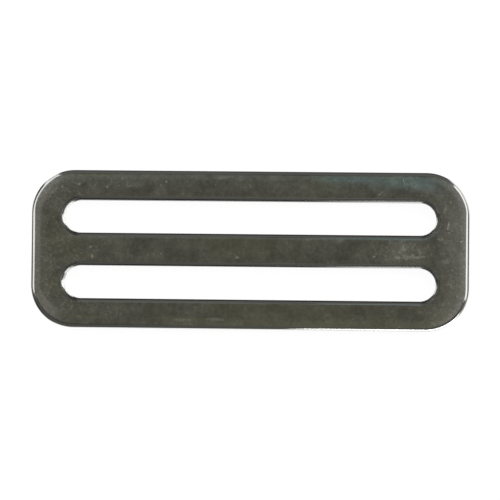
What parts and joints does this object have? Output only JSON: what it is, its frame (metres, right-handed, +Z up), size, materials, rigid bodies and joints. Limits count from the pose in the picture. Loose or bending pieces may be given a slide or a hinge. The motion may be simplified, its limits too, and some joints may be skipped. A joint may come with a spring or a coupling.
{
  "type": "webbing keeper",
  "caption": "Flat steel keeper for wide webbing: a rounded plate with long parallel slots, so a strap threads up one slot, over the centre bar and down the other.",
  "frame": {"origin": "centre of the underside, on the surface the plate lies on", "axes": "+X along the length of the plate and its slots, +Y across the slots, +Z up through the thickness"},
  "size_m": [0.06, 0.0218, 0.0025],
  "materials": {
    "keeper_plate": "dark polished steel, smooth, with rounded edges, light scuffs and fine scratches"
  },
  "bodies": {
    "root": {"keeper_plate": "keeper_plate"}
  },
  "joints": []
}
